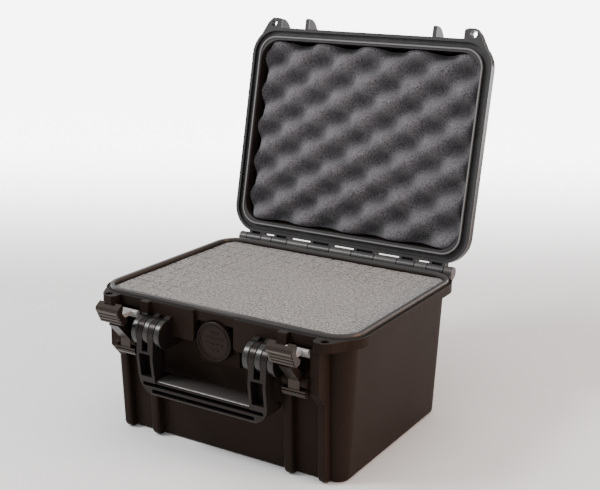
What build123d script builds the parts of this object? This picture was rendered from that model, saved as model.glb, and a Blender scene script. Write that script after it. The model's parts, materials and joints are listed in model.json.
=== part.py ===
from build123d import *
from math import cos, radians, sin, tan
import os

os.makedirs("parts", exist_ok=True)

# Moulded equipment case, millimetres. Origin: centre of the underside.
# +X right, -Y front (latches and handle), +Z up. Lid drawn open, latches released.

# --- base shell
BASE_W = 232.0          # underside, outside the wall
BASE_D = 178.0
BASE_CORNER = 11.0
WALL = 3.4
DRAFT = 2.5             # degrees, every side wall
RIM_Z = 128.0           # parting plane
FLANGE_T = 8.5
FLANGE_W = 258.0
FLANGE_D = 207.0
FLANGE_CORNER = 27.0
FLOOR_T = 4.0
TONGUE_IN = 3.2         # flange edge to tongue
TONGUE_T = 4.2
TONGUE_H = 2.8

# --- lid shell
PART_GAP = 0.3          # between the two flanges when shut
LID_TOP = 34.0          # parting plane to lid crown
LID_ANGLE = 101.5       # how far the lid leans open
LIP_OUT = 3.0           # lip outside the gasket groove
GROOVE_W = 5.0
GROOVE_D = 5.4
GASKET_T = 2.4
INNER_LIP = 0.8         # how far the lip inside the groove stands proud
LID_CORNER = 21.0
LID_IN_W = BASE_W + 1.6
LID_IN_D = BASE_D + 1.6

# --- hinge
HINGE_Y = 110.0
HINGE_Z = 129.0
KNUCKLE_R = 5.4
HINGE_PIN_R = 2.0
HINGE_GAP = 0.9
LEAF_SLOT = 2.6         # slot across each hinge leaf of the lid
HINGE_CUTS = (12.2, 36.7, 61.0, 79.5, 92.2, 109.3)
HINGE_END = 118.5

# --- latch bays and latches
BAY_X = 84.5            # centre of each latch
BAY_W = 23.4
POST_W = 8.2
POST_Y = -110.4         # front of the corner posts
FIN_Y = -108.6          # front of the inner posts, under the rim
APRON_Y = -104.6
APRON_LOW = 101.0
RECESS_Y = -101.2       # rim set back over the valve
RECESS_W = 40.0
RIB_IN = -97.6          # front of the ribs at the underside
RIB_OUT = -97.0
LATCH_Y = -111.0        # pin that carries the lever
LATCH_Z = 92.0
LATCH_PIN_R = 1.6
LEVER_W = 23.8
FOOT_W = 21.4
RIB_PITCH = 3.4         # of the finger ribs on the lever
HOOK_PIN_R = 1.3
HOOK_PIN_D = 30.0       # lever pin to hook pin
HOOK_LEAN = 38.0        # of the line between those pins, at rest
HOOK_L = 19.6
HOOK_W = 21.0

# --- padlock eyes
EYE_X = 107.5
EYE_Y = -108.0
EYE_R = 3.5
TAB_FRONT = -113.2
TAB_IN = 98.0
TAB_OUT = 114.0
FIN_X = 66.8            # inner side of the fin beside each latch

# --- handle
HANDLE_Y = -111.5
HANDLE_Z = 104.5
HANDLE_PIN_R = 2.0
LUG_R = 12.8
LUG_T = 5.5
LUG_X = 41.6            # inner side of each stack of lugs
LUG_PITCH = 5.85
LUG_ROUND = 0.9
NUB_Z = 117.0           # shoulder where each lug meets the apron
NUB_R = 2.0
ARM_OUT = 64.6
ARM_IN = 47.5
GRIP_LOW = 51.0
GRIP_TOP = 65.5
GRIP_FRONT = -121.5
GRIP_BACK = -99.0
ARM_POCKET_LOW = 68.0
ARM_POCKET_TOP = 88.6
ARM_BAR_TOP = 90.8      # bar between the channel and the fork

# --- pressure valve
VALVE_Z = 104.2
VALVE_R = 17.4
VALVE_FACE = -95.5      # flat seat on the wall
VALVE_BORE = 8.0
VALVE_INNER = -88.4     # flat seat inside the wall

SIDES = {"left": -1, "right": 1}
RUN = 0.05              # radial clearance of a pin that turns


# Planes of the open lid: local y and z are those of the shut lid, from the hinge axis.
LID = Plane(
    origin=(0, HINGE_Y, HINGE_Z),
    x_dir=(1, 0, 0),
    z_dir=(0, sin(radians(LID_ANGLE)), cos(radians(LID_ANGLE))),
)
LID_Y0 = -HINGE_Y
SHUT = RIM_Z + PART_GAP - HINGE_Z


def lid_side(x):
    """Plane across the lid at x: local x is depth, local y is height."""
    return Plane(origin=LID.origin + Vector(x, 0, 0), x_dir=LID.y_dir, z_dir=(1, 0, 0))


def cross(x):
    """Plane across the case at x: local x is Y, local y is Z."""
    return Plane.YZ.offset(x)


# ---------------------------------------------------------------- base shell
with BuildPart() as base_shell:
    with BuildSketch():
        RectangleRounded(BASE_W, BASE_D, BASE_CORNER)
    extrude(amount=RIM_Z, taper=-DRAFT)
    fillet(base_shell.edges().group_by(Axis.Z)[0], 3.5)
    # rim flange with padlock corners
    with BuildSketch(Plane.XY.offset(RIM_Z - FLANGE_T)):
        RectangleRounded(FLANGE_W, FLANGE_D, FLANGE_CORNER)
        for s in SIDES.values():
            with BuildLine():
                Polyline(
                    (s * TAB_IN, EYE_Y + 22),
                    (s * TAB_IN, TAB_FRONT + 3.0),
                    (s * (TAB_IN + 3.0), TAB_FRONT),
                    (s * (TAB_OUT - 5), TAB_FRONT),
                    (s * TAB_OUT, TAB_FRONT + 5),
                    (s * (TAB_OUT + 9), -92),
                    (s * (TAB_OUT - 8), -84),
                    close=True,
                )
            make_face()
    extrude(amount=FLANGE_T)
    # rim set back over the pressure valve
    with BuildSketch(Plane.XY.offset(RIM_Z - FLANGE_T - 1)):
        with Locations((0, RECESS_Y - 5)):
            Rectangle(RECESS_W, 10)
    extrude(amount=FLANGE_T + 2, mode=Mode.SUBTRACT)
    # apron panels either side of the valve recess, rounded at the top inner corner
    apron_w = BAY_X - BAY_W / 2 - RECESS_W / 2 - 1
    for s in SIDES.values():
        with BuildSketch(Plane.XZ.offset(80)):
            with Locations((s * (RECESS_W + apron_w) / 2, (APRON_LOW + RIM_Z - 0.6) / 2)):
                RectangleRounded(apron_w, RIM_Z - 0.6 - APRON_LOW, 3)
        extrude(amount=-APRON_Y - 80)
    # latch bay posts: corner posts stand proud and chamfer back into a rib
    for s in SIDES.values():
        for x, foot, post, low, high in (
            (BAY_X - BAY_W / 2 - POST_W, RIB_IN, FIN_Y, 108.0, RIM_Z),
            (BAY_X + BAY_W / 2, RIB_OUT, POST_Y, 83.0, RIM_Z - FLANGE_T + 0.5),
        ):
            left = x if s > 0 else -x - POST_W
            lean = (low - 12) * tan(radians(DRAFT))
            with BuildSketch(cross(left)):
                with BuildLine():
                    toe = ThreePointArc((foot + 7.0, 0.3), (foot + 2.0, 2.2), (foot, 7.0))
                    Polyline(
                        toe @ 1,
                        (foot - lean, low - 12),
                        (post, low),
                        (post, high),
                        (-80, high),
                        (-80, 0.3),
                        toe @ 0,
                    )
                make_face()
            extrude(amount=POST_W)
    upright = base_shell.edges().filter_by(
        lambda e: e.length > 30
        and abs(e.tangent_at(0.5).X) < 0.05
        and abs(e.tangent_at(0.5).Z) > 0.9
        and e.center().Y < -95
        and 60 < abs(e.center().X) < 106
        and e.center().Z < 90
    )
    fillet(upright, 2.4)
    # lever lugs: two cheeks in each bay
    for s in SIDES.values():
        for dx in (-8.3, 8.3):
            with BuildSketch(cross(s * BAY_X + dx - 2.6)):
                with Locations((LATCH_Y, LATCH_Z)):
                    Circle(4.6)
                with BuildLine():
                    Polyline(
                        (LATCH_Y, LATCH_Z + 4.6),
                        (-86, LATCH_Z + 4.6),
                        (-86, LATCH_Z - 12),
                        (-96, LATCH_Z - 10),
                        (LATCH_Y + 1.8, LATCH_Z - 4.2),
                        close=True,
                    )
                make_face()
            extrude(amount=5.2)
    # handle lugs: three discs on each side, faired back to the wall
    for s in SIDES.values():
        for n in (0, 2, 4):
            x = s * (LUG_X + n * LUG_PITCH + LUG_T / 2) - LUG_T / 2
            with BuildSketch(cross(x)):
                with Locations((HANDLE_Y, HANDLE_Z)):
                    Circle(LUG_R)
                with BuildLine():
                    Polyline(
                        (HANDLE_Y, HANDLE_Z - LUG_R),
                        (HANDLE_Y - 4, HANDLE_Z + LUG_R - 2),
                        (HANDLE_Y + 6, NUB_Z + NUB_R - 0.2),
                        (HANDLE_Y + 7, NUB_Z + NUB_R),
                        (-90, NUB_Z + NUB_R),
                        (-90, HANDLE_Z - LUG_R),
                        close=True,
                    )
                make_face()
            extrude(amount=LUG_T)
    lug_edges = base_shell.edges().filter_by(GeomType.CIRCLE).filter_by(
        lambda e: abs(e.radius - LUG_R) < 0.01 and e.center().Z > 80
    )
    fillet(lug_edges, LUG_ROUND)
    # pockets in the apron for the cheeks of the handle
    for s in SIDES.values():
        for n in (1, 3):
            with BuildSketch(cross(s * (LUG_X + n * LUG_PITCH + LUG_T / 2))):
                with Locations((HANDLE_Y, HANDLE_Z)):
                    Circle(LUG_R + 0.6)
            extrude(amount=LUG_PITCH - LUG_T / 2, both=True, mode=Mode.SUBTRACT)
    # flat seat for the valve
    with BuildSketch(Plane.XZ.offset(84)):
        with Locations((0, VALVE_Z - 2)):
            Rectangle(RECESS_W, 40)
    extrude(amount=-VALVE_FACE - 84)
    # hinge knuckles, webbed to the back flange
    lobes = [(-HINGE_CUTS[0], HINGE_CUTS[0])]
    for s in SIDES.values():
        for near, far in ((1, 2), (3, 4)):
            lobes.append(tuple(sorted((s * HINGE_CUTS[near], s * HINGE_CUTS[far]))))
        lobes.append(tuple(sorted((s * HINGE_CUTS[5], s * HINGE_END))))
    for a, b in lobes:
        with BuildSketch(cross(a + HINGE_GAP / 2)):
            with Locations((HINGE_Y, HINGE_Z)):
                Circle(KNUCKLE_R)
            with BuildLine():
                Polyline(
                    (90, RIM_Z - FLANGE_T),
                    (HINGE_Y - 4, RIM_Z - FLANGE_T),
                    (HINGE_Y + KNUCKLE_R - 0.3, HINGE_Z - 2),
                    (HINGE_Y - 1, HINGE_Z - 0.5),
                    (100, RIM_Z),
                    (90, RIM_Z),
                    close=True,
                )
            make_face()
        extrude(amount=b - a - HINGE_GAP)
    # inside of the case
    with BuildSketch(Plane.XY.offset(FLOOR_T)):
        RectangleRounded(BASE_W - 2 * WALL + 0.3, BASE_D - 2 * WALL + 0.3, BASE_CORNER - WALL)
    extrude(amount=RIM_Z - FLOOR_T, taper=-DRAFT, mode=Mode.SUBTRACT)
    # flat seat for the valve nut inside
    with BuildSketch(Plane.XZ.offset(-VALVE_INNER)):
        with Locations((0, VALVE_Z)):
            Circle(14.5)
    extrude(amount=4)
    with BuildSketch(Plane.XZ.offset(80)):
        with Locations((0, VALVE_Z)):
            Circle(VALVE_BORE + RUN)
    extrude(amount=24, mode=Mode.SUBTRACT)
    # sealing tongue and the two grooves beside it
    with BuildSketch(Plane.XY.offset(RIM_Z)):
        edge = 2 * TONGUE_IN
        RectangleRounded(FLANGE_W - edge, FLANGE_D - edge, FLANGE_CORNER - TONGUE_IN)
        edge = 2 * (TONGUE_IN + TONGUE_T)
        RectangleRounded(
            FLANGE_W - edge, FLANGE_D - edge, FLANGE_CORNER - TONGUE_IN - TONGUE_T,
            mode=Mode.SUBTRACT,
        )
    extrude(amount=TONGUE_H, taper=12)
    with BuildSketch(Plane.XY.offset(RIM_Z)):
        edge = 2 * 1.1
        RectangleRounded(FLANGE_W - edge, FLANGE_D - edge, FLANGE_CORNER - 1.1)
        edge = 2 * 2.0
        RectangleRounded(FLANGE_W - edge, FLANGE_D - edge, FLANGE_CORNER - 2.0, mode=Mode.SUBTRACT)
    extrude(amount=-0.8, mode=Mode.SUBTRACT)
    # step inside the tongue, which clears the inner lip of the lid
    with BuildSketch(Plane.XY.offset(RIM_Z)):
        edge = 2 * (TONGUE_IN + TONGUE_T + 0.7)
        RectangleRounded(FLANGE_W - edge, FLANGE_D - edge, FLANGE_CORNER - edge / 2)
    extrude(amount=-INNER_LIP - 0.3, mode=Mode.SUBTRACT)
    # room behind the hinge knuckles of the lid
    for s in SIDES.values():
        for a, b in ((0, 1), (2, 3), (4, 5)):
            mid = s * (HINGE_CUTS[a] + HINGE_CUTS[b]) / 2
            wide = HINGE_CUTS[b] - HINGE_CUTS[a] + HINGE_GAP
            with BuildSketch(cross(mid - wide / 2)):
                with Locations((HINGE_Y, HINGE_Z)):
                    Circle(KNUCKLE_R + 0.7)
            extrude(amount=wide, mode=Mode.SUBTRACT)
    # round pocket for the knob under the set-back rim
    with BuildSketch(Plane.XZ.offset(-VALVE_FACE + 2.0)):
        with Locations((0, VALVE_Z)):
            Circle(VALVE_R + 0.7)
    extrude(amount=12, mode=Mode.SUBTRACT)
    # pin bores and padlock eyes
    with BuildSketch(Plane.YZ):
        with Locations((HINGE_Y, HINGE_Z)):
            Circle(HINGE_PIN_R)
    extrude(amount=HINGE_END - 1.2, both=True, mode=Mode.SUBTRACT)
    for s in SIDES.values():
        with BuildSketch(cross(s * BAY_X)):
            with Locations((LATCH_Y, LATCH_Z)):
                Circle(LATCH_PIN_R)
        extrude(amount=10.0, both=True, mode=Mode.SUBTRACT)
        with BuildSketch(cross(s * (LUG_X + 2 * LUG_PITCH + LUG_T / 2))):
            with Locations((HANDLE_Y, HANDLE_Z)):
                Circle(HANDLE_PIN_R)
        extrude(amount=13.2, both=True, mode=Mode.SUBTRACT)
    with BuildSketch(Plane.XY.offset(RIM_Z - FLANGE_T - 1)):
        with Locations((-EYE_X, EYE_Y), (EYE_X, EYE_Y)):
            Circle(EYE_R)
    extrude(amount=FLANGE_T + 2, mode=Mode.SUBTRACT)

# ---------------------------------------------------------------- lid shell
with BuildPart() as lid_shell:
    # crown
    with BuildSketch(LID.offset(SHUT + FLANGE_T - 1)):
        with Locations((0, LID_Y0)):
            RectangleRounded(BASE_W + 10.6, BASE_D + 10.6, LID_CORNER + 4)
    extrude(amount=LID_TOP - FLANGE_T + 1, taper=3)
    crown = lid_shell.faces().sort_by(Axis(LID.origin, LID.z_dir))[-1]
    fillet(crown.edges(), 8)
    # flange with padlock corners
    with BuildSketch(LID.offset(SHUT)):
        with Locations((0, LID_Y0)):
            RectangleRounded(FLANGE_W, FLANGE_D, FLANGE_CORNER)
        for s in SIDES.values():
            with BuildLine():
                Polyline(
                    (s * (TAB_IN + 0.4), LID_Y0 + EYE_Y + 22),
                    (s * (TAB_IN + 0.4), LID_Y0 + TAB_FRONT + 3.5),
                    (s * (TAB_IN + 3.5), LID_Y0 + TAB_FRONT),
                    (s * (TAB_OUT - 5), LID_Y0 + TAB_FRONT),
                    (s * TAB_OUT, LID_Y0 + TAB_FRONT + 5),
                    (s * (TAB_OUT + 9), LID_Y0 - 92),
                    (s * (TAB_OUT - 8), LID_Y0 - 84),
                    close=True,
                )
            make_face()
    extrude(amount=FLANGE_T)
    # fins either side of each latch, quarter round in profile
    for s in SIDES.values():
        for x, thick, reach in ((FIN_X, 4.0, 10.4), (TAB_IN + 0.4, 3.6, 9.0)):
            left = x if s > 0 else -x - thick
            with BuildSketch(lid_side(left)):
                with BuildLine():
                    front = LID_Y0 - FLANGE_D / 2
                    l1 = Line((front + 12, SHUT), (front - reach + 1.5, SHUT))
                    l2 = Line(l1 @ 1, (front - reach, SHUT + 1.5))
                    l3 = Line(l2 @ 1, (front - reach, SHUT + 6))
                    l4 = ThreePointArc(
                        l3 @ 1,
                        (front - reach * 0.42, SHUT + 6 + 13 * 0.78),
                        (front + 8, SHUT + 21),
                    )
                    l5 = Line(l4 @ 1, (front + 12, SHUT + 21))
                    l6 = Line(l5 @ 1, l1 @ 0)
                make_face()
            extrude(amount=thick)
    # catch rail that the latch hook drops behind
    for s in SIDES.values():
        with BuildSketch(lid_side(s * BAY_X - HOOK_W / 2 - 2)):
            with Locations((LID_Y0 - FLANGE_D / 2 + 1.1, SHUT + FLANGE_T)):
                Rectangle(2.2, 1.2)
        extrude(amount=HOOK_W + 4)
    # crown outside: four raised pads round a flat panel
    top = SHUT + LID_TOP
    with BuildSketch(LID.offset(top)):
        for dy in (-62, 62):
            with Locations((0, LID_Y0 + dy)):
                RectangleRounded(186, 15, 5)
        for dx in (-85.5, 85.5):
            with Locations((dx, LID_Y0)):
                RectangleRounded(15, 130, 5)
    extrude(amount=2.2, taper=20)
    # hinge knuckles
    for s in SIDES.values():
        for a, b in ((0, 1), (2, 3), (4, 5)):
            lo = min(s * HINGE_CUTS[a], s * HINGE_CUTS[b]) + HINGE_GAP / 2
            wide = HINGE_CUTS[b] - HINGE_CUTS[a] - HINGE_GAP
            with BuildSketch(lid_side(lo)):
                Circle(KNUCKLE_R)
                with BuildLine():
                    Polyline(
                        (-18, SHUT),
                        (0, SHUT),
                        (KNUCKLE_R - 0.3, 2),
                        (-4.5, SHUT + FLANGE_T),
                        (-18, SHUT + FLANGE_T),
                        close=True,
                    )
                make_face()
            extrude(amount=wide)
            with BuildSketch(lid_side(lo + wide / 2)):
                with Locations((-KNUCKLE_R - LEAF_SLOT / 2 + 0.8, SHUT + 1.0)):
                    Rectangle(LEAF_SLOT, 4.0)
            extrude(amount=wide / 2 - 3.0, both=True, mode=Mode.SUBTRACT)
    # inside of the lid
    with BuildSketch(LID.offset(SHUT + LID_TOP - WALL)):
        with Locations((0, LID_Y0)):
            RectangleRounded(LID_IN_W, LID_IN_D, LID_CORNER - 2)
    extrude(amount=-(LID_TOP - WALL), taper=-3, mode=Mode.SUBTRACT)
    # inner lip beside the gasket groove, a little proud
    with BuildSketch(LID.offset(SHUT)):
        with Locations((0, LID_Y0)):
            edge = 2 * (LIP_OUT + GROOVE_W + 0.5)
            RectangleRounded(FLANGE_W - edge, FLANGE_D - edge, FLANGE_CORNER - edge / 2)
            edge = 2 * (LIP_OUT + GROOVE_W + 2.0)
            RectangleRounded(
                FLANGE_W - edge, FLANGE_D - edge, FLANGE_CORNER - edge / 2, mode=Mode.SUBTRACT
            )
    extrude(amount=-INNER_LIP, taper=10)
    # gasket groove
    with BuildSketch(LID.offset(SHUT)):
        with Locations((0, LID_Y0)):
            edge = 2 * LIP_OUT
            RectangleRounded(FLANGE_W - edge, FLANGE_D - edge, FLANGE_CORNER - LIP_OUT)
            edge = 2 * (LIP_OUT + GROOVE_W)
            RectangleRounded(
                FLANGE_W - edge, FLANGE_D - edge, FLANGE_CORNER - LIP_OUT - GROOVE_W,
                mode=Mode.SUBTRACT,
            )
    extrude(amount=GROOVE_D, mode=Mode.SUBTRACT)
    # room around the base knuckles, which stand between the lid's own
    for a, b in lobes:
        with BuildSketch(lid_side(a - HINGE_GAP / 2)):
            Circle(KNUCKLE_R + 0.7)
        extrude(amount=b - a + HINGE_GAP, mode=Mode.SUBTRACT)
    # pin bore and padlock eyes
    with BuildSketch(lid_side(0)):
        Circle(HINGE_PIN_R + RUN)
    extrude(amount=HINGE_END, both=True, mode=Mode.SUBTRACT)
    with BuildSketch(LID.offset(SHUT - 1)):
        with Locations((-EYE_X, LID_Y0 + EYE_Y), (EYE_X, LID_Y0 + EYE_Y)):
            Circle(EYE_R)
    extrude(amount=FLANGE_T + 12, mode=Mode.SUBTRACT)

with BuildPart() as lid_gasket:
    with BuildSketch(LID.offset(SHUT + GROOVE_D - GASKET_T)):
        with Locations((0, LID_Y0)):
            edge = 2 * (LIP_OUT + 0.1)
            RectangleRounded(FLANGE_W - edge, FLANGE_D - edge, FLANGE_CORNER - LIP_OUT - 0.1)
            edge = 2 * (LIP_OUT + GROOVE_W - 0.1)
            RectangleRounded(
                FLANGE_W - edge, FLANGE_D - edge, FLANGE_CORNER - LIP_OUT - GROOVE_W + 0.1,
                mode=Mode.SUBTRACT,
            )
    extrude(amount=GASKET_T)

with BuildPart() as lid_foam:
    with BuildSketch(LID.offset(SHUT + LID_TOP - WALL - 0.2)):
        with Locations((0, LID_Y0)):
            RectangleRounded(LID_IN_W - 0.6, LID_IN_D - 0.6, LID_CORNER - 2.4)
    extrude(amount=-(LID_TOP - WALL - 1.0), taper=-3)

with BuildPart() as hinge_pin:
    with BuildSketch(Plane.YZ):
        with Locations((HINGE_Y, HINGE_Z)):
            Circle(HINGE_PIN_R)
    extrude(amount=HINGE_END - 1.2, both=True)

# ---------------------------------------------------------------- base foam
FOAM_LEVELS = {
    "base_foam_pad": (FLOOR_T + 0.2, 16.0),
    "base_foam_middle": (16.2, 71.0),
    "base_foam_top": (71.2, RIM_Z - 1.0),
}
foams = {}
for name, (low, high) in FOAM_LEVELS.items():
    grow = (low - FLOOR_T) * tan(radians(DRAFT))
    with BuildPart() as layer:
        with BuildSketch(Plane.XY.offset(low)):
            RectangleRounded(
                BASE_W - 2 * WALL - 0.2 + 2 * grow,
                BASE_D - 2 * WALL - 0.2 + 2 * grow,
                BASE_CORNER - WALL + grow,
            )
        extrude(amount=high - low, taper=-DRAFT)
        if low > 70:
            # pocket for the valve nut
            with BuildSketch(Plane.XZ.offset(80)):
                with Locations((0, VALVE_Z - 4)):
                    Rectangle(32, 38)
            extrude(amount=20, mode=Mode.SUBTRACT)
    foams[name] = layer

# ---------------------------------------------------------------- handle
with BuildPart() as handle:
    # side profile of the arms and the grip
    for s in SIDES.values():
        with BuildSketch(cross(s * (ARM_IN + ARM_OUT) / 2)):
            with Locations((HANDLE_Y, HANDLE_Z)):
                Circle(LUG_R - 0.2)
            with BuildLine():
                Polyline(
                    (HANDLE_Y - LUG_R + 0.4, HANDLE_Z - 1),
                    (HANDLE_Y + 8, HANDLE_Z - 9),
                    (HANDLE_Y - 0.5, HANDLE_Z - 17),
                    (HANDLE_Y + 0.5, GRIP_TOP + 9),
                    (HANDLE_Y + 4.5, GRIP_TOP + 2),
                    (GRIP_BACK - 4, GRIP_TOP - 1),
                    (GRIP_BACK - 4, GRIP_LOW + 3),
                    (GRIP_FRONT + 0.5, GRIP_LOW + 3),
                    (-125.0, HANDLE_Z - 20),
                    close=True,
                )
            make_face()
        extrude(amount=(ARM_OUT - ARM_IN) / 2, both=True)
    # grip, with rounded long edges
    with BuildSketch(cross(0)):
        with Locations(((GRIP_FRONT + GRIP_BACK) / 2, (GRIP_LOW + GRIP_TOP) / 2)):
            RectangleRounded(GRIP_BACK - GRIP_FRONT, GRIP_TOP - GRIP_LOW, 2.5)
    extrude(amount=ARM_OUT, both=True)
    # round the outer corners of the arms to match
    with BuildSketch(Plane.XZ.offset(80)):
        with Locations((0, GRIP_LOW + 40)):
            Rectangle(2 * ARM_OUT + 20, 80)
        with Locations((0, GRIP_LOW + 60)):
            RectangleRounded(2 * ARM_OUT, 120, 17, mode=Mode.SUBTRACT)
    extrude(amount=60, mode=Mode.SUBTRACT)
    # hand space between the arms, above the grip
    with BuildSketch(Plane.XZ.offset(80)):
        with Locations((0, GRIP_TOP + 40)):
            RectangleRounded(2 * ARM_IN + 0.2, 80, 5)
    extrude(amount=60, mode=Mode.SUBTRACT)
    # slots for the lugs between the fork cheeks
    for s in SIDES.values():
        with BuildSketch(cross(s * (LUG_X + 2 * LUG_PITCH + LUG_T / 2))):
            with Locations((HANDLE_Y, HANDLE_Z)):
                Circle(LUG_R + 1.0)
        extrude(amount=LUG_PITCH - LUG_T / 2, both=True, mode=Mode.SUBTRACT)
    # open channel down the front of each arm, between its two cheeks
    for s in SIDES.values():
        with BuildSketch(Plane.XZ.offset(114)):
            with Locations((s * (ARM_IN + ARM_OUT) / 2, (ARM_POCKET_LOW + ARM_POCKET_TOP) / 2)):
                Rectangle(ARM_OUT - ARM_IN - 5.6, ARM_POCKET_TOP - ARM_POCKET_LOW)
        extrude(amount=16, mode=Mode.SUBTRACT)
    # the fork stays open below the middle lug, down to a bar over that channel
    for s in SIDES.values():
        with BuildSketch(Plane.XZ.offset(114)):
            with Locations((s * (LUG_X + 2 * LUG_PITCH + LUG_T / 2), (ARM_BAR_TOP + HANDLE_Z) / 2)):
                Rectangle(2 * LUG_PITCH - LUG_T, HANDLE_Z - ARM_BAR_TOP)
        extrude(amount=16, mode=Mode.SUBTRACT)
    # two long slots along the front of the grip leave three rails
    with BuildSketch(Plane.XZ.offset(-GRIP_FRONT - 6)):
        for z, half in ((GRIP_TOP - 4.5, ARM_OUT - 4.0), (GRIP_LOW + 4.2, ARM_OUT - 13.0)):
            with Locations((0, z)):
                RectangleRounded(2 * half, 3.4, 1.2)
    extrude(amount=12, mode=Mode.SUBTRACT)
    # pin bore
    with BuildSketch(Plane.YZ):
        with Locations((HANDLE_Y, HANDLE_Z)):
            Circle(HANDLE_PIN_R + RUN)
    extrude(amount=ARM_OUT + 2, both=True, mode=Mode.SUBTRACT)

# ---------------------------------------------------------------- latches
def lever_point(along, across):
    """Point in a lever's side view: along the front face, and back from it."""
    lean = radians(27.0)
    y = -129.9 - along * sin(lean) + across * cos(lean)
    z = 108.6 + along * cos(lean) + across * sin(lean)
    return (y, z)


HOOK_AT = (
    LATCH_Y - HOOK_PIN_D * sin(radians(HOOK_LEAN)),
    LATCH_Z + HOOK_PIN_D * cos(radians(HOOK_LEAN)),
)
levers = {}
hooks = {}
lever_pins = {}
hook_pins = {}
handle_pins = {}
for side, s in SIDES.items():
    with BuildPart() as lever:
        x0 = s * BAY_X
        # block at the top: ribbed front, shallow top
        with BuildSketch(cross(x0)):
            with BuildLine():
                Polyline(
                    lever_point(3.2, 1.0),
                    lever_point(5.0, 0.0),
                    lever_point(18.2, 0.0),
                    lever_point(20.0, 1.8),
                    lever_point(20.6, 8.2),
                    lever_point(17.4, 8.2),
                    lever_point(14.2, 5.0),
                    lever_point(10.8, 5.0),
                    lever_point(5.0, 7.8),
                    lever_point(2.2, 5.2),
                    close=True,
                )
            make_face()
        extrude(amount=LEVER_W / 2, both=True)
        for n in range(4):
            with BuildSketch(cross(x0)):
                with BuildLine():
                    Polyline(
                        lever_point(5.2 + RIB_PITCH * n, 0.3),
                        lever_point(5.2 + RIB_PITCH * n, -0.8),
                        lever_point(6.6 + RIB_PITCH * n, -0.8),
                        lever_point(7.2 + RIB_PITCH * n, 0.3),
                        close=True,
                    )
                make_face()
            extrude(amount=LEVER_W / 2 - 0.8, both=True)
        # neck down to the barrel
        with BuildSketch(cross(x0)):
            with BuildLine():
                Polyline(
                    lever_point(1.0, 0.6),
                    lever_point(4.0, 7.0),
                    (LATCH_Y + 3.0, LATCH_Z + 3.4),
                    (LATCH_Y + 1.0, LATCH_Z - 7.0),
                    (LATCH_Y - 4.2, LATCH_Z - 7.0),
                    (LATCH_Y - 4.4, LATCH_Z + 2.0),
                    close=True,
                )
            make_face()
            with Locations((LATCH_Y, LATCH_Z)):
                Circle(4.4)
        extrude(amount=5.2, both=True)
        # ribbed foot below the barrel
        with BuildSketch(cross(x0)):
            with BuildLine():
                Polyline(
                    (LATCH_Y + 2.2, LATCH_Z - 5.4),
                    (LATCH_Y - 3.4, LATCH_Z - 5.4),
                    (LATCH_Y - 5.2, LATCH_Z - 5.8),
                    (LATCH_Y - 5.2, LATCH_Z - 7.0),
                    (LATCH_Y - 3.8, LATCH_Z - 7.8),
                    (LATCH_Y - 4.9, LATCH_Z - 8.6),
                    (LATCH_Y - 4.9, LATCH_Z - 9.8),
                    (LATCH_Y - 3.2, LATCH_Z - 11.8),
                    (LATCH_Y + 1.0, LATCH_Z - 12.4),
                    (LATCH_Y + 2.2, LATCH_Z - 11.4),
                    close=True,
                )
            make_face()
        extrude(amount=FOOT_W / 2, both=True)
        # room for the hook between two cheeks
        with BuildSketch(cross(x0)):
            with Locations(HOOK_AT):
                Circle(3.3)
        extrude(amount=5.6, both=True, mode=Mode.SUBTRACT)
        with BuildSketch(cross(x0)):
            with BuildLine():
                Polyline(
                    lever_point(4.4, 1.9),
                    lever_point(16.4, 1.9),
                    lever_point(17.4, 4.6),
                    lever_point(30.0, 8.0),
                    lever_point(30.0, 30.0),
                    lever_point(-8.0, 30.0),
                    lever_point(3.6, 5.4),
                    close=True,
                )
            make_face()
        extrude(amount=5.6, both=True, mode=Mode.SUBTRACT)
        with BuildSketch(cross(x0)):
            with Locations((LATCH_Y, LATCH_Z)):
                Circle(LATCH_PIN_R + RUN)
        extrude(amount=6, both=True, mode=Mode.SUBTRACT)
        with BuildSketch(cross(x0)):
            with Locations(HOOK_AT):
                Circle(HOOK_PIN_R)
        extrude(amount=LEVER_W / 2 - 2, both=True, mode=Mode.SUBTRACT)
    levers[side] = lever

    with BuildPart() as hook:
        # web from the pin back to the claw bar, which rests beside the rim
        tip = (HOOK_AT[0] + HOOK_L, HOOK_AT[1] + 1.4)
        with BuildSketch(cross(x0)):
            with Locations(HOOK_AT):
                Circle(2.7)
            with BuildLine():
                Polyline(
                    (HOOK_AT[0], HOOK_AT[1] + 2.7),
                    (tip[0], tip[1] + 2.0),
                    (tip[0], tip[1] - 1.4),
                    (HOOK_AT[0], HOOK_AT[1] - 1.2),
                    close=True,
                )
            make_face()
        extrude(amount=5.2, both=True)
        with BuildSketch(cross(x0)):
            with BuildLine():
                Polyline(
                    (tip[0] - 2.6, tip[1] + 1.2),
                    (tip[0] - 1.6, tip[1] + 2.2),
                    (tip[0] + 0.6, tip[1] + 2.2),
                    (tip[0] + 2.6, tip[1] + 0.4),
                    (tip[0] + 3.4, tip[1] - 4.8),
                    (tip[0] + 1.6, tip[1] - 5.2),
                    (tip[0] + 0.4, tip[1] - 1.2),
                    (tip[0] - 2.6, tip[1] - 1.0),
                    close=True,
                )
            make_face()
        extrude(amount=HOOK_W / 2, both=True)
        with BuildSketch(cross(x0)):
            with Locations(HOOK_AT):
                Circle(HOOK_PIN_R + RUN)
        extrude(amount=6, both=True, mode=Mode.SUBTRACT)
    hooks[side] = hook

    with BuildPart() as lever_pin:
        with BuildSketch(cross(x0)):
            with Locations((LATCH_Y, LATCH_Z)):
                Circle(LATCH_PIN_R)
        extrude(amount=10.0, both=True)
    lever_pins[side] = lever_pin

    with BuildPart() as hook_pin:
        with BuildSketch(cross(x0)):
            with Locations(HOOK_AT):
                Circle(HOOK_PIN_R)
        extrude(amount=LEVER_W / 2 - 2, both=True)
    hook_pins[side] = hook_pin

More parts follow.
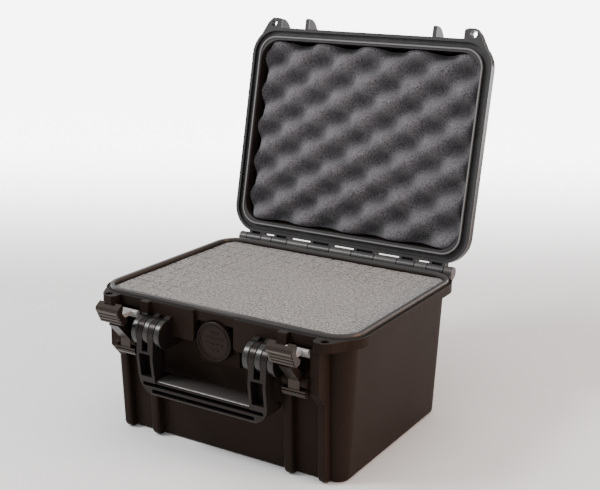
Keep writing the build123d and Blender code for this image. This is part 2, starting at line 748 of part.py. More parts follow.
    with BuildPart() as handle_pin:
        with BuildSketch(cross(s * (LUG_X + 2 * LUG_PITCH + LUG_T / 2))):
            with Locations((HANDLE_Y, HANDLE_Z)):
                Circle(HANDLE_PIN_R)
        extrude(amount=13.2, both=True)
    handle_pins[side] = handle_pin

# ---------------------------------------------------------------- pressure valve
with BuildPart() as purge_valve_seal:
    with BuildSketch(Plane.XZ.offset(-VALVE_FACE)):
        with Locations((0, VALVE_Z)):
            Circle(12.5)
            Circle(VALVE_BORE + 0.1, mode=Mode.SUBTRACT)
    extrude(amount=0.8)

with BuildPart() as purge_valve_body:
    with BuildSketch(Plane.XZ.offset(82.5)):
        with Locations((0, VALVE_Z)):
            Circle(VALVE_BORE - 0.02)
    extrude(amount=14.5)
    with BuildSketch(Plane.XZ.offset(-VALVE_FACE + 0.8)):
        with Locations((0, VALVE_Z)):
            Circle(13.5)
    extrude(amount=1.3)
    with BuildSketch(Plane.XZ.offset(-VALVE_FACE + 2.0)):
        with Locations((0, VALVE_Z)):
            Circle(6.0)
    extrude(amount=3.6)
    with BuildSketch(Plane.XZ.offset(82.5)):
        with Locations((0, VALVE_Z)):
            Circle(5.5)
    extrude(amount=3.0, mode=Mode.SUBTRACT)
    with BuildSketch(Plane.XZ.offset(82.5)):
        with Locations((0, VALVE_Z)):
            with PolarLocations(3.2, 6):
                Circle(0.8)
    extrude(amount=12.0, mode=Mode.SUBTRACT)

with BuildPart() as purge_valve_membrane:
    with BuildSketch(Plane.XZ.offset(83.3)):
        with Locations((0, VALVE_Z)):
            Circle(5.45)
    extrude(amount=0.8)

with BuildPart() as purge_valve_nut:
    with BuildSketch(Plane.XZ.offset(84.2)):
        with Locations((0, VALVE_Z)):
            RegularPolygon(12.4, 6)
            Circle(VALVE_BORE, mode=Mode.SUBTRACT)
    extrude(amount=-VALVE_INNER - 84.2)

with BuildPart() as purge_valve_knob:
    face = -VALVE_FACE + 2.2
    with BuildSketch(Plane.XZ.offset(face)):
        with Locations((0, VALVE_Z)):
            Circle(VALVE_R)
    extrude(amount=6.6)
    chamfer(purge_valve_knob.edges().group_by(Axis.Y)[0], 0.8)
    # knurl round the edge
    with BuildSketch(Plane.XZ.offset(face)):
        with Locations((0, VALVE_Z)):
            with PolarLocations(VALVE_R + 0.25, 36):
                Circle(0.75)
    extrude(amount=6.6, mode=Mode.SUBTRACT)
    # dished front with rows of raised grip marks
    with BuildSketch(Plane.XZ.offset(face + 5.8)):
        with Locations((0, VALVE_Z)):
            Circle(VALVE_R - 1.8)
    extrude(amount=3, mode=Mode.SUBTRACT)
    with BuildSketch(Plane.XZ.offset(face + 5.0)):
        with Locations((0, VALVE_Z)):
            Circle(VALVE_R - 3.2)
            Circle(VALVE_R - 4.0, mode=Mode.SUBTRACT)
        for row, half in ((7.6, 5.0), (2.6, 9.5), (-2.4, 9.5), (-7.4, 5.0)):
            for side in (-1, 1):
                with Locations((side * half / 2, VALVE_Z + row)):
                    RectangleRounded(half - 1.0, 1.7, 0.8)
    extrude(amount=1.3)
    with BuildSketch(Plane.XZ.offset(face - 0.5)):
        with Locations((0, VALVE_Z)):
            Circle(6.0 + RUN)
    extrude(amount=4.1, mode=Mode.SUBTRACT)

# ---------------------------------------------------------------- write the pieces
pieces = {
    "base_shell": base_shell,
    "lid_shell": lid_shell,
    "lid_gasket": lid_gasket,
    "lid_foam": lid_foam,
    "hinge_pin": hinge_pin,
    "handle": handle,
    "purge_valve_body": purge_valve_body,
    "purge_valve_seal": purge_valve_seal,
    "purge_valve_membrane": purge_valve_membrane,
    "purge_valve_nut": purge_valve_nut,
    "purge_valve_knob": purge_valve_knob,
}
pieces.update(foams)
for side in SIDES:
    pieces["latch_lever_" + side] = levers[side]
    pieces["latch_hook_" + side] = hooks[side]
    pieces["latch_pin_" + side] = lever_pins[side]
    pieces["latch_hook_pin_" + side] = hook_pins[side]
    pieces["handle_pin_" + side] = handle_pins[side]
for name, piece in pieces.items():
    piece.part.label = name
    export_step(piece.part, "parts/" + name + ".step")
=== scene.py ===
import json
import math

import bpy
import numpy as np
from mathutils import Matrix, Vector, noise


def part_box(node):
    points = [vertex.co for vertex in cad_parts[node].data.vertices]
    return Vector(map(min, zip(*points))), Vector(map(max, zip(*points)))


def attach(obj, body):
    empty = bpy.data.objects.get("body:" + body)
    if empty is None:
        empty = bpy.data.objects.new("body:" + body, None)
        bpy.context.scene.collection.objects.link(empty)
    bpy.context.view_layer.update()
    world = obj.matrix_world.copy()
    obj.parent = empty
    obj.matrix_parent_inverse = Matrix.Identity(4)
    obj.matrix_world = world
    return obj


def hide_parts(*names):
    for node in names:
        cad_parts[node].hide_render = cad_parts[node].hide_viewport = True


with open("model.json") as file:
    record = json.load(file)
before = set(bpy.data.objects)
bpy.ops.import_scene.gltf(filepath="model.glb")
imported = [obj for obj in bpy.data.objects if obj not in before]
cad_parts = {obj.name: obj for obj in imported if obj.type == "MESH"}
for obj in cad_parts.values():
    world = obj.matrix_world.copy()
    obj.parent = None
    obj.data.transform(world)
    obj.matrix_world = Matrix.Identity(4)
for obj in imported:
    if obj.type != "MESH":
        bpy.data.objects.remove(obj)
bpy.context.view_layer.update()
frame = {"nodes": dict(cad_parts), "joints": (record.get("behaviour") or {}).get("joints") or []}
nodes = frame["nodes"]
joints = {j["name"]: j for j in frame["joints"]}
MM = 0.001


# ------------------------------------------------------------------ helpers
def mesh_object(name, verts, faces, smooth=True):
    mesh = bpy.data.meshes.new(name)
    mesh.from_pydata([tuple(v) for v in verts], [], faces)
    mesh.validate()
    mesh.update()
    if smooth:
        mesh.polygons.foreach_set("use_smooth", [True] * len(mesh.polygons))
    obj = bpy.data.objects.new(name, mesh)
    bpy.context.scene.collection.objects.link(obj)
    return obj


def rounded_half_widths(y, half_x, half_y, radius):
    """Half width of a rounded rectangle at height y."""
    over = abs(y) - (half_y - radius)
    if over <= 0:
        return half_x
    return half_x - radius + math.sqrt(max(radius ** 2 - over ** 2, 0.0))


def closed_block(name, verts, nx, ny, levels, ring_point, upward):
    """Grid of points, closed by rings that ring_point(point, level) hangs on its edge, and a flat back."""
    row = nx + 1
    faces = []
    for j in range(ny):
        for i in range(nx):
            a = j * row + i
            faces.append((a, a + row, a + row + 1, a + 1))
    edge = [i for i in range(nx + 1)]
    edge += [j * row + nx for j in range(1, ny + 1)]
    edge += [ny * row + i for i in range(nx - 1, -1, -1)]
    edge += [j * row for j in range(ny - 1, 0, -1)]
    above = edge
    for level in range(1, levels + 1):
        below = [len(verts) + k for k in range(len(edge))]
        verts += [ring_point(verts[index], level) for index in edge]
        for k in range(len(edge)):
            after = (k + 1) % len(edge)
            faces.append((above[k], above[after], below[after], below[k]))
        above = below
    faces.append(tuple(above))
    if upward:
        faces = [(face[0], *reversed(face[1:])) for face in faces]
    return mesh_object(name, verts, faces)


# ------------------------------------------------------------------ materials
class Nodes:
    """A short way to write node trees."""

    def __init__(self, name):
        self.mat = bpy.data.materials.new(name)
        self.mat.use_nodes = True
        self.tree = self.mat.node_tree
        self.tree.nodes.clear()
        self.out = self.add("ShaderNodeOutputMaterial")
        self.bsdf = self.add("ShaderNodeBsdfPrincipled")
        self.link(self.bsdf.outputs[0], self.out.inputs[0])
        self.coord = self.add("ShaderNodeTexCoord").outputs["Object"]

    def add(self, kind, **props):
        node = self.tree.nodes.new(kind)
        for key, value in props.items():
            setattr(node, key, value)
        return node

    def link(self, a, b):
        self.tree.links.new(a, b)

    def put(self, node, key, value):
        socket = node.inputs[key]
        if isinstance(value, bpy.types.NodeSocket):
            self.link(value, socket)
        else:
            socket.default_value = value

    def noise(self, scale, detail=3.0, rough=0.55):
        node = self.add("ShaderNodeTexNoise")
        self.put(node, "Vector", self.coord)
        self.put(node, "Scale", scale)
        self.put(node, "Detail", detail)
        self.put(node, "Roughness", rough)
        return node.outputs["Fac"]

    def voronoi(self, scale):
        node = self.add("ShaderNodeTexVoronoi", feature="F1")
        self.put(node, "Vector", self.coord)
        self.put(node, "Scale", scale)
        return node.outputs["Distance"]

    def ramp(self, fac, stops):
        node = self.add("ShaderNodeValToRGB")
        ramp = node.color_ramp
        while len(ramp.elements) < len(stops):
            ramp.elements.new(0.5)
        for element, (at, colour) in zip(ramp.elements, stops):
            element.position = at
            element.color = (*colour, 1.0) if len(colour) == 3 else colour
        self.put(node, "Fac", fac)
        return node.outputs["Color"]

    def span(self, value, a, b, c, d):
        node = self.add("ShaderNodeMapRange")
        self.put(node, "Value", value)
        for key, v in zip(("From Min", "From Max", "To Min", "To Max"), (a, b, c, d)):
            self.put(node, key, v)
        return node.outputs["Result"]

    def math(self, op, a, b=0.0):
        node = self.add("ShaderNodeMath", operation=op)
        self.put(node, 0, a)
        self.put(node, 1, b)
        return node.outputs[0]

    def mix(self, fac, a, b, blend="MIX"):
        node = self.add("ShaderNodeMix", data_type="RGBA", blend_type=blend)
        self.put(node, "Factor", fac)
        for key, value in ((6, a), (7, b)):
            if isinstance(value, tuple) and len(value) == 3:
                value = (*value, 1.0)
            self.put(node, key, value)
        return node.outputs[2]

    def bump(self, height, strength, distance, normal=None):
        node = self.add("ShaderNodeBump")
        self.put(node, "Height", height)
        self.put(node, "Strength", strength)
        self.put(node, "Distance", distance)
        if normal is not None:
            self.put(node, "Normal", normal)
        return node.outputs["Normal"]


# The open lid's own axes: across, towards its free edge, and out of its mouth.
lid_joint = joints["lid_close"]
hinge = Vector(lid_joint["pos_m"])
theta = math.radians(lid_joint["range_deg"][1])
ACROSS = Vector((1, 0, 0))
BACK = Vector((0, math.cos(theta), -math.sin(theta)))      # shut: +Y
CROWN = Vector((0, math.sin(theta), math.cos(theta)))      # shut: +Z


def lid_point(x, y, z):
    """Shut-lid coordinates in metres to the open lid."""
    return hinge + ACROSS * x + BACK * (y - hinge.y) + CROWN * (z - hinge.z)


def lid_local(p):
    d = p - hinge
    return (d.dot(ACROSS), d.dot(BACK) + hinge.y, d.dot(CROWN) + hinge.z)


lid_height = [lid_local(v.co)[2] for v in nodes["lid_foam"].data.vertices]
frame_mouth = min(lid_height) - 0.0008      # parting face of the lid, in the shut lid's height


def grey(v):
    return (v, v, v)


POLISH = 0.16           # how much smoother a polished patch is
NEUTRAL = (1.0, 1.0, 1.0)


def moulded(name, colour, rough=0.42, grain=900.0, bump=0.25, gloss=0.3, tint=(1, 1, 1), patches=()):
    """Moulded resin: fine spark texture, slight flow variation, and a few patches of other colour, among
    them painted highlights and painted shade.
    """
    n = Nodes(name)
    flow = n.noise(9.0, 4.0, 0.6)
    fine = n.noise(grain, 2.0, 0.5)
    pits = n.voronoi(grain * 0.55)
    dark = tuple(c * 0.93 for c in colour)
    light = tuple(c * 1.08 for c in colour)
    base = n.ramp(flow, [(0.20, dark), (0.50, colour), (0.80, light)])
    specks = n.ramp(fine, [(0.35, (0.86, 0.86, 0.86)), (0.70, (1.12, 1.12, 1.12))])
    base = n.mix(1.0, base, specks, "MULTIPLY")
    roughness = n.span(n.noise(14.0, 2.0, 0.5), 0.3, 0.7, rough - 0.02, rough + 0.03)
    sheen, hue = gloss, (*tint, 1.0)
    for mask, patch_colour, patch_gloss in patches:
        share = mask(n)
        base = n.mix(share, base, patch_colour)
        if patch_gloss:
            roughness = n.math("SUBTRACT", roughness, n.math("MULTIPLY", share, POLISH))
            sheen = n.span(share, 0.0, 1.0, sheen, patch_gloss)
            hue = n.mix(share, hue, NEUTRAL)
    n.put(n.bsdf, "Specular IOR Level", sheen)
    n.put(n.bsdf, "Specular Tint", hue)
    n.put(n.bsdf, "Base Color", base)
    n.put(n.bsdf, "Roughness", roughness)
    n.bsdf.inputs["IOR"].default_value = 1.5
    normal = n.bump(pits, bump, 0.00018)
    n.put(n.bsdf, "Normal", n.bump(n.noise(260.0, 2.0), 0.10, 0.0003, normal))
    return n.mat


PLUCK_PITCH = 0.0147    # rows of cuts that let the base foam be plucked out


def pluck_mask(n):
    """Dashed cuts on a square grid, clearest towards the left and the back."""
    split = n.add("ShaderNodeSeparateXYZ")
    n.put(split, 0, n.coord)
    near = [n.span(n.math("PINGPONG", split.outputs[axis], PLUCK_PITCH / 2), 0.0004, 0.0013, 1.0, 0.0)
            for axis in (0, 1)]
    line = n.math("MAXIMUM", *near)
    dash = n.span(n.noise(190.0, 1.0), 0.47, 0.52, 0.0, 1.0)
    share = n.math("MAXIMUM", along(n, (-1, 0, 0), 0.020, 0.080), along(n, (0, 1, 0), 0.020, 0.060))
    return n.math("MULTIPLY", n.math("MULTIPLY", line, dash), share)


def foam_material(name, colour, dark, pore=700.0, depth=0.9, speck=0.35, shade=None, cuts=None):
    n = Nodes(name)
    cells = n.voronoi(pore)
    cells2 = n.voronoi(pore * 0.45)
    grain = n.noise(pore * 0.8, 3.0, 0.6)
    blotch = n.noise(22.0, 3.0, 0.6)
    tone = n.ramp(grain, [(0.38, dark), (0.50, colour), (0.63, tuple(c * (1 + speck) for c in colour))])
    pits = n.ramp(cells, [(0.0, (0.62, 0.62, 0.62)), (0.35, (1.0, 1.0, 1.0)), (0.9, (1.06, 1.06, 1.06))])
    tint = n.ramp(blotch, [(0.3, (0.93, 0.93, 0.93)), (0.7, (1.05, 1.05, 1.05))])
    colour_out = n.mix(1.0, n.mix(0.8, tone, pits, "MULTIPLY"), tint, "MULTIPLY")
    if shade:
        # the valleys hold dust and shadow, so they are darker than the peaks
        direction, near, far, low = shade
        depth_at = n.add("ShaderNodeVectorMath", operation="DOT_PRODUCT")
        n.put(depth_at, 0, n.coord)
        depth_at.inputs[1].default_value = direction
        fade = n.span(depth_at.outputs["Value"], near, far, 1.0, low)
        grey_fade = n.add("ShaderNodeCombineColor")
        for channel in range(3):
            n.put(grey_fade, channel, fade)
        colour_out = n.mix(1.0, colour_out, grey_fade.outputs[0], "MULTIPLY")
    if cuts:
        colour_out = n.mix(n.math("MULTIPLY", cuts(n), 0.9), colour_out, tuple(c * 0.55 for c in dark))
    n.put(n.bsdf, "Base Color", colour_out)
    n.bsdf.inputs["Roughness"].default_value = 0.95
    n.bsdf.inputs["Specular IOR Level"].default_value = 0.2
    n.bsdf.inputs["Sheen Weight"].default_value = 0.25
    n.bsdf.inputs["Sheen Roughness"].default_value = 0.6
    normal = n.bump(cells, depth, 0.0005)
    normal = n.bump(cells2, depth * 0.6, 0.0008, normal)
    n.put(n.bsdf, "Normal", n.bump(grain, 0.4, 0.0008, normal))
    return n.mat


def steel(name):
    n = Nodes(name)
    n.put(n.bsdf, "Base Color", n.ramp(n.noise(120.0, 3.0), [(0.3, grey(0.42)), (0.7, grey(0.62))]))
    n.bsdf.inputs["Metallic"].default_value = 1.0
    n.put(n.bsdf, "Roughness", n.span(n.noise(400.0, 2.0), 0.3, 0.7, 0.25, 0.4))
    return n.mat


def rubber(name):
    n = Nodes(name)
    n.put(n.bsdf, "Base Color", n.ramp(n.noise(300.0, 3.0), [(0.3, grey(0.012)), (0.7, grey(0.024))]))
    n.put(n.bsdf, "Roughness", n.span(n.noise(90.0, 3.0), 0.3, 0.7, 0.55, 0.72))
    n.put(n.bsdf, "Normal", n.bump(n.noise(900.0, 2.0), 0.3, 0.0002))
    return n.mat


def along(n, direction, start, end):
    """Mask that rises from 0 to 1 between two places along a direction."""
    place = n.add("ShaderNodeVectorMath", operation="DOT_PRODUCT")
    n.put(place, 0, n.coord)
    place.inputs[1].default_value = direction
    return n.span(place.outputs["Value"], start, end, 0.0, 1.0)


def between(n, direction, low, high, soft):
    """Mask of 1 between two places along a direction, soft just inside both."""
    back = tuple(-c for c in direction)
    return n.math("MULTIPLY", along(n, direction, low, low + soft), along(n, back, -high, soft - high))


X, Y, Z = (1, 0, 0), (0, 1, 0), (0, 0, 1)
RIM_TOP = 0.1278
TONGUE_TOP = 0.1294
HINGE_FRONT = 0.1046
LUG_LOW, LUG_TOP = 0.0900, 0.1192
LUG_FRONT = 0.1052      # the lugs stand out past this
LUG_OUT = 0.0715
GRIP_TOP = 0.0655
GRIP_BACK, GRIP_FRONT = 0.1000, 0.1210
ARM_IN = 0.0470


def lit_tongue_pale_hinge(n):
    """The top of the sealing tongue is painted pale as a painted highlight; the hinge is paler than the
    walls.
    """
    tongue = along(n, Z, TONGUE_TOP - 0.0011, TONGUE_TOP)
    return n.math("MAXIMUM", tongue, along(n, Y, HINGE_FRONT - 0.0006, HINGE_FRONT))


def rim_top(n):
    """The flat of the rim is a little paler than the walls."""
    return along(n, Z, RIM_TOP - 0.0006, RIM_TOP)


def shaded_polished_lugs(n):
    """The handle's lugs are painted dark as painted shade of the pocket they sit in, and they are
    polished.
    """
    front = along(n, (0, -1, 0), LUG_FRONT, LUG_FRONT + 0.0008)
    height = between(n, Z, LUG_LOW, LUG_TOP, 0.0010)
    sides = between(n, X, -LUG_OUT, LUG_OUT, 0.0010)
    return n.math("MULTIPLY", n.math("MULTIPLY", height, front), sides)


def lit_grip_top(n):
    """The top of the grip between its arms is painted paler as painted light, most of all at the front."""
    height = between(n, Z, GRIP_TOP - 0.0010, GRIP_TOP + 0.0007, 0.0006)
    inner = between(n, X, -ARM_IN, ARM_IN, 0.0005)
    front = along(n, (0, -1, 0), GRIP_BACK, GRIP_FRONT)
    return n.math("MULTIPLY", n.math("MULTIPLY", height, inner), front)


def sealing_lip_highlight(n):
    """The proud inner lip of the lid is painted pale as a painted highlight along its edge."""
    proud = along(n, -CROWN, MOUTH + 0.0002, MOUTH + 0.0005)
    hinge_side = hinge.dot(BACK) - 0.010
    return n.math("MULTIPLY", proud, along(n, -BACK, -hinge_side - 0.0004, -hinge_side))


def lid_walls(n):
    """Past its sealing face the lid has the same dark colour as the walls of the base."""
    return along(n, CROWN, FACE_DEPTH - MOUTH, FACE_DEPTH - MOUTH + 0.0004)


FACE_DEPTH = 0.0014     # of the paler sealing face of the lid
MOUTH = -(hinge.dot(CROWN) + frame_mouth - hinge.z)
SHELL = moulded(
    "case_shell", (0.0142, 0.0096, 0.0076), rough=0.46, gloss=0.07, tint=(1.0, 0.72, 0.60),
    patches=(
        (rim_top, (0.030, 0.028, 0.027), None),
        # painted highlight on the top of the tongue, and a paler hinge
        (lit_tongue_pale_hinge, (0.060, 0.057, 0.056), 0.25),
        # painted shade: the lugs behind the handle are darkened; their higher gloss is polish
        (shaded_polished_lugs, (0.007, 0.0055, 0.005), 0.5),
    ),
)
LID = moulded(
    "lid_shell", (0.034, 0.0325, 0.033), rough=0.36, gloss=0.35,
    patches=(
        # painted highlight along the lid's inner lip
        (sealing_lip_highlight, (0.17, 0.165, 0.165), None),
        (lid_walls, (0.0150, 0.0112, 0.0098), 0.10),
    ),
)
HANDLE = moulded(
    "handle_resin", (0.0095, 0.0078, 0.0072), rough=0.28, bump=0.12, gloss=0.19, tint=(1.0, 0.88, 0.84),
    # painted light on the top of the grip
    patches=((lit_grip_top, (0.062, 0.057, 0.055), 0.4),),
)
LATCH = moulded(
    "latch_resin", (0.0098, 0.0070, 0.0059), rough=0.30, bump=0.12, gloss=0.42, tint=(1.0, 0.82, 0.70),
)
# painted reflection: the hook is glossy black resin, painted light grey for the reflections on its faces
HOOK = moulded("hook_painted_reflection", (0.30, 0.29, 0.28), rough=0.35, bump=0.1, gloss=0.4)
KNOB = moulded("valve_resin", (0.0125, 0.0088, 0.0076), rough=0.42, gloss=0.12, tint=(1.0, 0.80, 0.72))
FOAM_LIGHT = foam_material(
    "base_foam", (0.160, 0.154, 0.147), (0.074, 0.071, 0.068), pore=620.0, speck=0.95, cuts=pluck_mask,
)
RUBBER = rubber("gasket_rubber")
STEEL = steel("pin_steel")

looks = {
    "base_shell": SHELL, "lid_shell": LID, "lid_gasket": RUBBER, "hinge_pin": STEEL,
    "handle": HANDLE, "purge_valve_seal": RUBBER, "purge_valve_body": KNOB,
    "purge_valve_nut": KNOB, "purge_valve_knob": KNOB, "purge_valve_membrane": RUBBER,
    "base_foam_pad": FOAM_LIGHT, "base_foam_middle": FOAM_LIGHT, "base_foam_top": FOAM_LIGHT,
}
for side in ("left", "right"):
    looks["handle_pin_" + side] = STEEL
    looks["latch_pin_" + side] = STEEL
    looks["latch_hook_pin_" + side] = STEEL
    looks["latch_lever_" + side] = LATCH
    looks["latch_hook_" + side] = HOOK
for name, mat in looks.items():
    obj = nodes[name]
    obj.data.materials.clear()
    obj.data.materials.append(mat)

# Moulded edges are never sharp: a fine bevel lets them catch the light.
BEVELS = {"handle": 0.5, "lid_shell": 0.35, "base_shell": 0.35, "purge_valve_knob": 0.25}
for side in ("left", "right"):
    BEVELS["latch_lever_" + side] = 0.35
    BEVELS["latch_hook_" + side] = 0.3
for name, width in BEVELS.items():
    bevel = nodes[name].modifiers.new("edge_radius", "BEVEL")
    bevel.width = width * MM
    bevel.segments = 2
    bevel.limit_method = "ANGLE"
    bevel.angle_limit = math.radians(38)
    bevel.harden_normals = False
    bevel.use_clamp_overlap = True

# ------------------------------------------------------------------ lid foam
CRATE_PITCH = (0.0512, 0.0352)      # of the egg crate's waves, across and along the lid
CRATE_SHIFT = (0.0242, 0.0030)
CRATE_CORNER = 0.017
CRATE_GRID = (236, 182)
CRATE_LEVELS = 6
PEAK, VALLEY = 0.0004, 0.0150       # below the foam's front face
CUT_SIDE = 0.006                    # how far in from its sides the cut foam gives way
INSET = 0.0004                      # from the lid that it is glued in
foam_pts = np.array([lid_local(v.co) for v in nodes["lid_foam"].data.vertices])
flo, fhi = foam_pts.min(axis=0), foam_pts.max(axis=0)


def crate_lift(u, v):
    """0 on the peaks of the egg crate, 1 in its valleys."""
    a = 2 * math.pi * (u + CRATE_SHIFT[0]) / CRATE_PITCH[0]
    b = 2 * math.pi * (v + CRATE_SHIFT[1]) / CRATE_PITCH[1]
    wave = 0.58 * math.cos(a + b) + 0.42 * math.cos(a - b)
    wave += 0.10 * noise.noise(Vector((u * 40, v * 40, 3.0)))
    return 0.5 - 0.5 * math.tanh(0.7 * wave) / math.tanh(0.7)


def egg_crate():
    half_x = (fhi[0] - flo[0]) / 2 - INSET
    half_y = (fhi[1] - flo[1]) / 2 - INSET
    mid_y = (fhi[1] + flo[1]) / 2
    back = fhi[2] - INSET
    nx, ny = CRATE_GRID
    verts = []
    for j in range(ny + 1):
        v = (2 * j / ny - 1) * half_y
        hw = rounded_half_widths(v, half_x, half_y, CRATE_CORNER)
        for i in range(nx + 1):
            u = (2 * i / nx - 1) * hw
            lift = crate_lift(u, v)
            z = flo[2] + PEAK + (VALLEY - PEAK) * lift
            z += 0.0007 * noise.noise(Vector((u * 130, v * 130, 9.0)))
            # the sides of cut foam bow in where it is thin
            edge_x, edge_y = hw - abs(u), half_y - abs(v)
            k = max(0.0, 1 - min(edge_x, edge_y) / CUT_SIDE)
            pull = 0.0022 * lift * k
            x = u - math.copysign(pull, u) if edge_x < edge_y else u
            y = v - math.copysign(pull, v) if edge_x >= edge_y else v
            verts.append(lid_point(x, mid_y + y, z + 0.0018 * k * k))

    def towards_back(point, level):
        x, y, z = lid_local(point)
        return lid_point(x, y, z + (back - z) * level / CRATE_LEVELS)

    return closed_block("egg_crate_foam", verts, nx, ny, CRATE_LEVELS, towards_back, False)


mouth = hinge.dot(CROWN) + flo[2] - hinge.z
FOAM_DARK = foam_material(
    "lid_foam", (0.108, 0.101, 0.111), (0.050, 0.046, 0.052), pore=820.0,
    shade=(CROWN, mouth + 0.001, mouth + 0.016, 0.30),
)
lid_foam = egg_crate()
lid_foam.data.materials.append(FOAM_DARK)
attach(lid_foam, "lid")
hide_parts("lid_foam")


# ------------------------------------------------------------------ base foam
PLUCK_DEPTH = 0.0007
SLIT = (0.0135, -0.0630)
SLIT_DEPTH = 0.0011
LAP = 0.0023            # how far the top layer spreads over the step in the rim
WALL_SLOPE = math.tan(math.radians(2.5))
FOAM_CORNER = 0.0095    # of the foam 60 mm above the floor
FOAM_GRID = (240, 190)
FOAM_LEVELS = 5
CROWD = 0.92            # below 1 the grid is finer towards the edges


def pluck_marks(u, v, half_x, half_y):
    """Depth of the rows of cuts, strongest near the left and the back."""
    near_left = max(0.0, 1 - (half_x + u) / 0.075)
    near_back = max(0.0, 1 - (half_y - v) / 0.050)
    near_right = max(0.0, 1 - (half_x - u) / 0.030)
    share = max(near_left, near_back, 0.6 * near_right)
    across, along_v = u / PLUCK_PITCH, v / PLUCK_PITCH
    line = min(abs(across - round(across)), abs(along_v - round(along_v))) * PLUCK_PITCH
    dash = 0.5 + 0.5 * math.sin(420 * (u + v)) + 0.4 * noise.noise(Vector((u * 60, v * 60, 2.0)))
    cut = max(0.0, 1 - line / 0.0007) * max(0.0, min(1.0, dash)) * share
    # one cut near the front has opened into a short curved slit
    du, dv = u - SLIT[0], v - SLIT[1]
    bow = abs(dv - 0.25 * du - 9.0 * du * du)
    slit = max(0.0, 1 - bow / 0.0009) if abs(du) < 0.010 else 0.0
    return PLUCK_DEPTH * cut + SLIT_DEPTH * slit


def foam_block(name, node, top_round, lap=0.0):
    """Foam layer cut to the drafted walls. lap spreads its top edge over the step in the rim."""
    lo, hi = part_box(node)
    half_x, half_y = ((hi[axis] - lo[axis]) / 2 - 0.0001 + lap for axis in (0, 1))
    corner = FOAM_CORNER + (hi[2] - 0.06) * WALL_SLOPE - lap
    nx, ny = FOAM_GRID
    verts = []
    for j in range(ny + 1):
        v = 2 * j / ny - 1
        v = math.copysign(abs(v) ** CROWD, v) * half_y
        hw = rounded_half_widths(v, half_x, half_y, corner)
        for i in range(nx + 1):
            u = 2 * i / nx - 1
            u = math.copysign(abs(u) ** CROWD, u) * hw
            edge = min(hw - abs(u), half_y - abs(v))
            z = hi[2] + (0.0002 if lap else -0.0004)
            z += 0.0003 * noise.noise(Vector((u * 25, v * 25, 1.0)))
            z += 0.0002 * noise.noise(Vector((u * 160, v * 160, 5.0)))
            if edge < top_round:
                k = 1 - edge / top_round
                z -= top_round * 0.2 * (1 - math.sqrt(max(1 - k * k, 0)))
            z -= pluck_marks(u, v, half_x, half_y) if lap else 0.0
            verts.append(Vector((u, v, z)))

    def down_the_wall(point, level):
        t = (level - 2) / (FOAM_LEVELS - 2)
        if level == 1:
            z = point.z - 0.0003
        else:
            z = point.z - 0.0004 + (lo[2] + 0.0006 - point.z) * t
        inset = (hi[2] - z) * WALL_SLOPE + (lap if level > 1 else 0.0)
        return Vector((point.x * (1 - inset / half_x), point.y * (1 - inset / half_y), z))

    return closed_block(name, verts, nx, ny, FOAM_LEVELS, down_the_wall, True)


for layer, soft_edge, spread in (("top", 0.0018, LAP), ("middle", 0.0008, 0.0), ("pad", 0.0006, 0.0)):
    block = foam_block("foam_layer_" + layer, "base_foam_" + layer, soft_edge, spread)
    block.data.materials.append(FOAM_LIGHT)
    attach(block, "base")
    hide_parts("base_foam_" + layer)

# ------------------------------------------------------------------ floor, light, camera
REACH = 40.0            # half the side of the floor
VIEW_ACROSS = (-0.518, 0.855, 0.0)      # along the floor, away from the viewer
GLOW_FROM, GLOW_TO, GLOW = 0.32, 1.4, 6.0

corners = [(-REACH, -REACH, 0), (REACH, -REACH, 0), (REACH, REACH, 0), (-REACH, REACH, 0)]
floor = mesh_object("floor", corners, [(0, 1, 2, 3)], smooth=False)
n = Nodes("floor_pale")
n.put(n.bsdf, "Base Color", n.ramp(n.noise(3.0, 2.0), [(0.3, grey(0.95)), (0.7, grey(0.97))]))
n.bsdf.inputs["Roughness"].default_value = 0.8
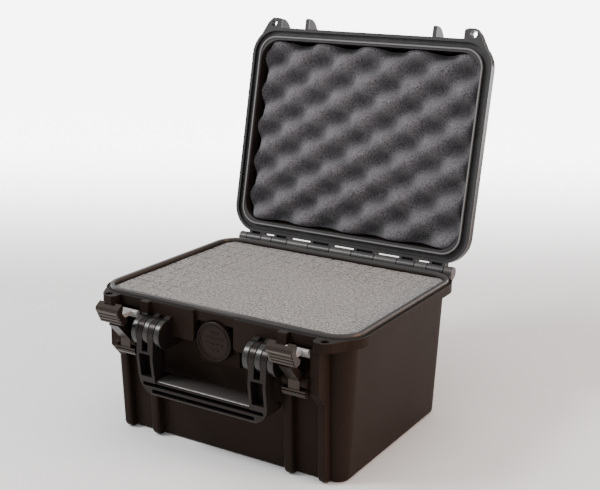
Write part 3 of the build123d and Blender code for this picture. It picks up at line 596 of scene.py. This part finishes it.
# painted light: the sweep glows behind the case, like a lit white backdrop, and its glow fades out towards
# the case as a painted soft shadow
distance = n.add("ShaderNodeVectorMath", operation="DOT_PRODUCT")
n.put(distance, 0, n.coord)
distance.inputs[1].default_value = VIEW_ACROSS
glow = n.add("ShaderNodeMapRange", interpolation_type="SMOOTHSTEP")
n.put(glow, "Value", distance.outputs["Value"])
for key, value in zip(("From Min", "From Max", "To Min", "To Max"), (GLOW_FROM, GLOW_TO, 0.0, GLOW)):
    n.put(glow, key, value)
n.bsdf.inputs["Emission Color"].default_value = (1, 1, 1, 1)
n.put(n.bsdf, "Emission Strength", glow.outputs["Result"])
floor.data.materials.append(n.mat)

WORLD_STRENGTH = 0.85
world = bpy.data.worlds.new("studio")
bpy.context.scene.world = world
world.use_nodes = True
backdrop = world.node_tree.nodes["Background"]
backdrop.inputs[0].default_value = (1.0, 1.0, 1.0, 1.0)
backdrop.inputs[1].default_value = WORLD_STRENGTH


def area_light(name, at, target, size, power, colour=(1, 1, 1)):
    data = bpy.data.lights.new(name, "AREA")
    data.shape = "RECTANGLE"
    data.size, data.size_y = size
    data.energy = power
    data.color = colour
    light = bpy.data.objects.new(name, data)
    light.location = at
    light.rotation_euler = (Vector(target) - Vector(at)).to_track_quat("-Z", "Y").to_euler()
    bpy.context.scene.collection.objects.link(light)


area_light("key", (-1.3, -1.15, 1.8), (0, 0, 0.15), (0.6, 0.6), 44)
area_light("top", (0.1, 0.2, 2.0), (0, 0, 0.1), (1.4, 1.4), 10)
area_light("fill", (1.9, 0.35, 0.5), (0, 0, 0.08), (0.8, 0.8), 27, (1.0, 0.52, 0.30))

AZIMUTH, ELEVATION, ROLL = (math.radians(a) for a in (31.226, 15.613, 0.709))
CAMERA_AT = (0.49665, -0.78824, 0.42263)
SENSOR = 36.0
LENS = 65.58
camera_data = bpy.data.cameras.new("camera")
camera = bpy.data.objects.new("camera", camera_data)
bpy.context.scene.collection.objects.link(camera)
level = math.cos(ELEVATION)
away = Vector((math.sin(AZIMUTH) * level, -math.cos(AZIMUTH) * level, math.sin(ELEVATION)))
right = Vector((math.cos(AZIMUTH), math.sin(AZIMUTH), 0))
up = away.cross(right)
rolled_right = right * math.cos(ROLL) + up * math.sin(ROLL)
rolled_up = up * math.cos(ROLL) - right * math.sin(ROLL)
pose = Matrix((rolled_right, rolled_up, away)).transposed().to_4x4()
pose.translation = CAMERA_AT
camera.matrix_world = pose
camera_data.sensor_width = SENSOR
camera_data.lens = LENS
camera_data.shift_y = 0.0015
camera_data.clip_start = 0.01
bpy.context.scene.camera = camera
